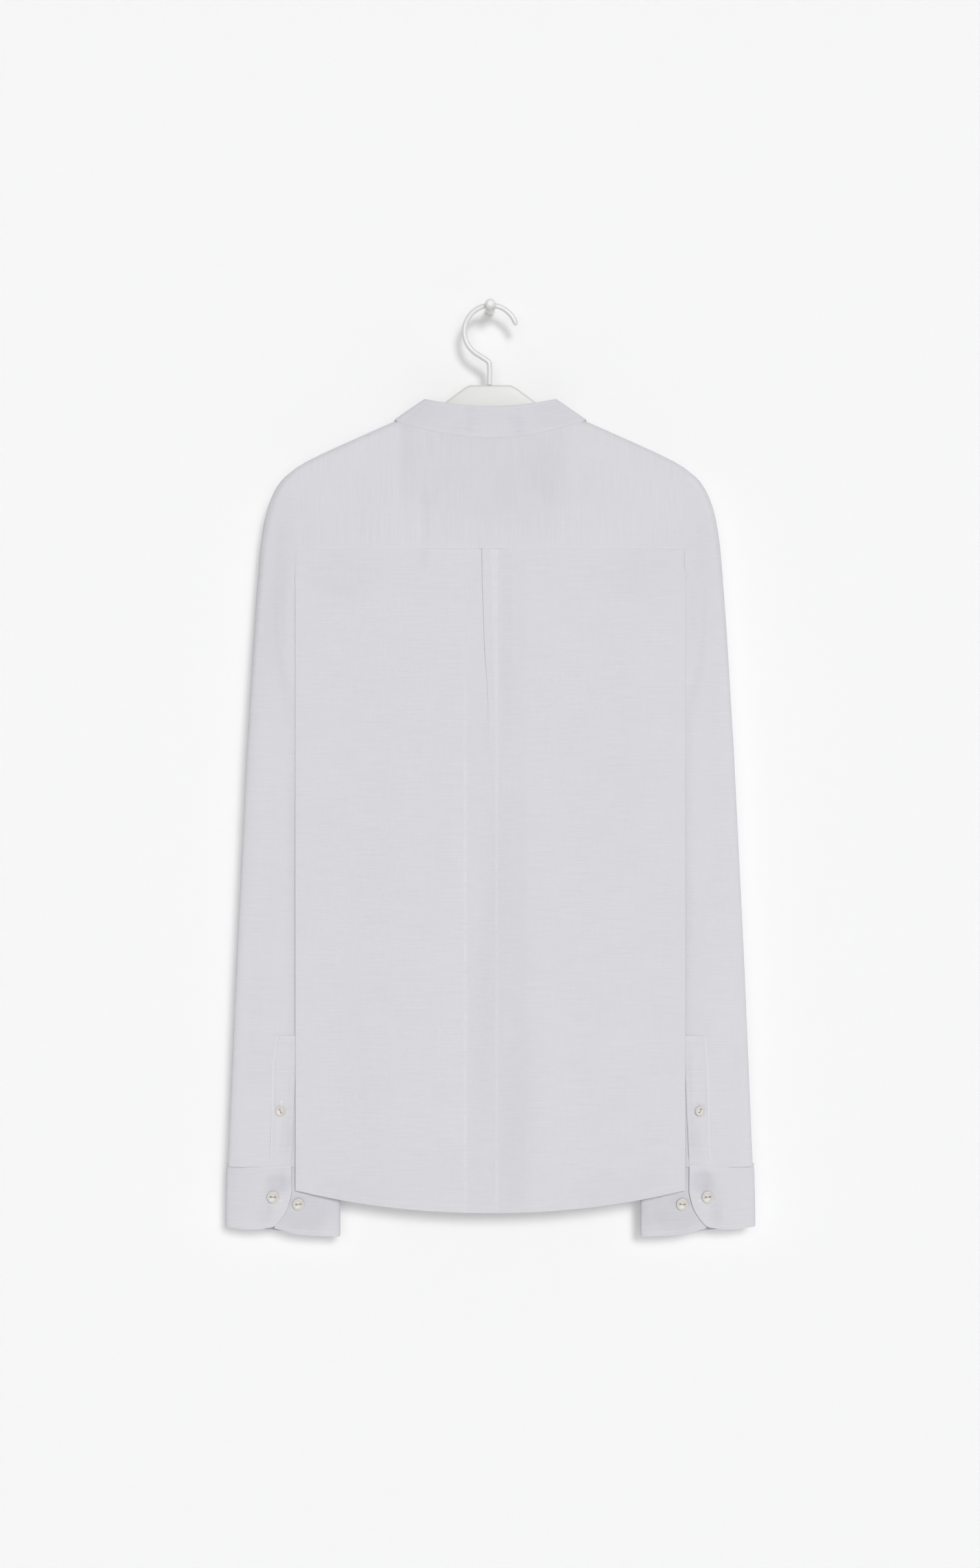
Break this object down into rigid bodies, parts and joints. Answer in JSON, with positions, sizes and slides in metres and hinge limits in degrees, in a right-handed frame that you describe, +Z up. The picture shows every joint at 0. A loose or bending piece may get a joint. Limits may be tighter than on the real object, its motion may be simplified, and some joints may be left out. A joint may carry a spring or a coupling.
{
  "type": "mandarin collar shirt on a hanger with its wall peg",
  "caption": "Long-sleeved shirt with a standing band collar, back box pleat and curved hem, hung flat on a hanger from a wall peg.",
  "frame": {"origin": "centre of the peg's foot, where it meets the wall", "axes": "+Z up; -Y out from the wall, the way the shirt's back faces; +X to the right when its back is seen, the wearer's right"},
  "size_m": [0.5016, 0.0478, 0.8874],
  "materials": {
    "cloth": "matt woven linen, pale lilac grey",
    "button": "ivory, slightly glossy",
    "hanger": "white, satin",
    "hook": "white coated wire, satin",
    "peg": "white, satin"
  },
  "bodies": {
    "root": {"back": "cloth", "yoke": "cloth", "front_left": "cloth", "front_right": "cloth", "collar": "cloth", "sleeve_left": "cloth", "sleeve_right": "cloth", "cuff_left": "cloth", "cuff_right": "cloth", "placket_left": "cloth", "placket_right": "cloth", "cuff_button_left_outer": "button", "cuff_button_left_inner": "button", "cuff_button_right_outer": "button", "cuff_button_right_inner": "button", "placket_button_left": "button", "placket_button_right": "button", "front_button_1": "button", "front_button_2": "button", "front_button_3": "button", "front_button_4": "button", "front_button_5": "button", "front_button_6": "button", "front_button_7": "button", "collar_button": "button", "hanger": "hanger", "hanger_hook": "hook", "wall_peg": "peg"}
  },
  "joints": []
}
